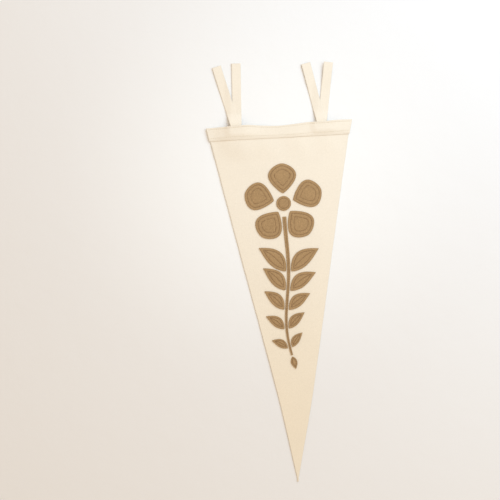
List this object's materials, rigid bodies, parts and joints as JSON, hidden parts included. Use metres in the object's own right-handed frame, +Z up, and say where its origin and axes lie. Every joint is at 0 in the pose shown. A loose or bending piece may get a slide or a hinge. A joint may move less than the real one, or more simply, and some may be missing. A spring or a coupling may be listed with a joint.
{
  "type": "felt pennant flag with two pairs of ties",
  "caption": "Long triangular felt pennant lying face up, with a sewn heading strip, free tie strips at its wide end and a felt flower and leaf motif.",
  "frame": {"origin": "middle of the box's underside, on the surface that the pennant lies on", "axes": "+Z up out of the pennant's front face, +Y from the tip towards the heading and the free ends of the ties, +X to the right of the face"},
  "size_m": [0.2306, 0.6624, 0.0092],
  "materials": {
    "cream_felt": "matt off-white wool felt with cut edges",
    "tan_felt": "matt tan wool felt with cut edges",
    "cream_thread": "matt off-white sewing thread",
    "tan_thread": "matt tan sewing thread"
  },
  "bodies": {
    "root": {"pennant": "cream_felt", "heading": "cream_felt", "tie_left_upper": "cream_felt", "tie_left_lower": "cream_felt", "tie_right_upper": "cream_felt", "tie_right_lower": "cream_felt", "petal_1": "tan_felt", "petal_2": "tan_felt", "petal_3": "tan_felt", "petal_4": "tan_felt", "petal_5": "tan_felt", "flower_centre": "tan_felt", "stem": "tan_felt", "leaf_left_1": "tan_felt", "leaf_left_2": "tan_felt", "leaf_left_3": "tan_felt", "leaf_left_4": "tan_felt", "leaf_left_5": "tan_felt", "leaf_right_1": "tan_felt", "leaf_right_2": "tan_felt", "leaf_right_3": "tan_felt", "leaf_right_4": "tan_felt", "leaf_right_5": "tan_felt", "bud": "tan_felt"}
  },
  "joints": []
}
